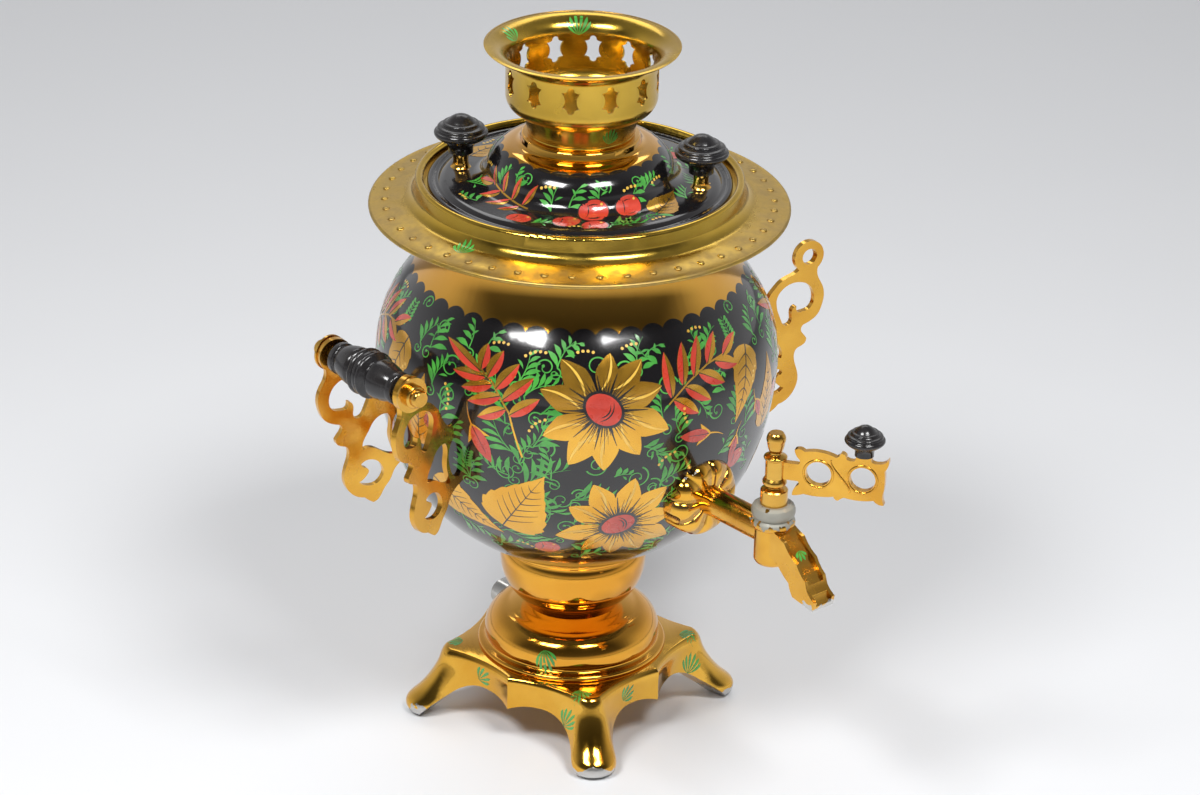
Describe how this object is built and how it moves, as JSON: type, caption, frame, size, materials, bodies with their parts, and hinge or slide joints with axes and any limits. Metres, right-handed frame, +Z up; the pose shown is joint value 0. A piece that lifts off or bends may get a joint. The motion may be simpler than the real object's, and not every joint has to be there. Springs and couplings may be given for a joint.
{
  "type": "samovar",
  "caption": "Electric samovar with a painted round body on a turned pedestal and footed base, lift-off lid, pierced teapot crown, tap with a turning key and side handles.",
  "frame": {"origin": "on the samovar's upright axis, in the plane that the feet stand on", "axes": "+Z up along the body's axis, -Y along the tap, -X towards the handle pair with the grip"},
  "size_m": [0.2903, 0.3015, 0.3691],
  "materials": {
    "gold_lacquer": "polished, with a warm gold lacquer",
    "black_lacquer": "gloss black lacquer with a folk floral painting",
    "brass": "satin to polished",
    "tinned_brass": "tinned, satin",
    "nickel_plate": "nickel plate",
    "steel": "plain",
    "black_plastic": "gloss",
    "rubber": "matte",
    "ceramic": "unglazed ceramic",
    "wire_sleeve": "glass-fibre sleeve"
  },
  "bodies": {
    "stand": {"base_casting": "gold_lacquer", "pedestal_dome": "gold_lacquer", "neck_collar": "gold_lacquer", "body_shell": "black_lacquer", "vessel_floor": "tinned_brass", "tie_rod": "steel", "tie_washer": "steel", "tie_nut": "steel", "gallery_ring": "brass", "tap_body": "gold_lacquer", "tap_rosette": "gold_lacquer", "tap_gasket": "rubber", "tap_washer": "tinned_brass", "tap_locknut": "brass", "bracket_left_near": "gold_lacquer", "bracket_left_far": "gold_lacquer", "bracket_right_far": "gold_lacquer", "bracket_right_near": "gold_lacquer", "bracket_washers": "steel", "bracket_nuts": "steel", "left_grip_rod": "steel", "left_grip_washers": "steel", "left_grip_nuts": "steel", "heater_element": "nickel_plate", "heater_glands": "brass", "heater_gaskets": "rubber", "heater_nuts": "brass", "heater_terminals": "steel", "inlet_shroud": "nickel_plate", "inlet_insulator": "ceramic", "inlet_pins": "brass", "inlet_pin_nuts": "steel", "lead_right": "wire_sleeve", "lead_left": "wire_sleeve"},
    "lid": {"lid_shell": "black_lacquer", "lid_knob_right": "black_plastic", "lid_knob_left": "black_plastic", "lid_knob_stem_right": "brass", "lid_knob_stem_left": "brass", "lid_knob_screws": "steel"},
    "crown": {"crown": "brass"},
    "tap_key": {"tap_plug": "brass", "tap_key_plate": "gold_lacquer", "tap_key_pin": "steel", "tap_key_knob": "black_plastic"},
    "grip": {"left_grip": "black_plastic"}
  },
  "joints": [
    {"name": "lid_lift", "type": "slide", "parent": "stand", "child": "lid", "axis": [0, 0, 1], "range_m": [0, 0.12]},
    {"name": "crown_lift", "type": "slide", "parent": "lid", "child": "crown", "axis": [0, 0, 1], "range_m": [0, 0.06]},
    {"name": "tap_key_turn", "type": "hinge", "parent": "stand", "child": "tap_key", "pos_m": [0, -0.148, 0.158], "axis": [0, 0, 1], "range_deg": [-165, 98]},
    {"name": "left_grip_spin", "type": "hinge", "parent": "stand", "child": "grip", "pos_m": [-0.13406, 0, 0.229], "axis": [0, 1, 0], "continuous": true}
  ]
}
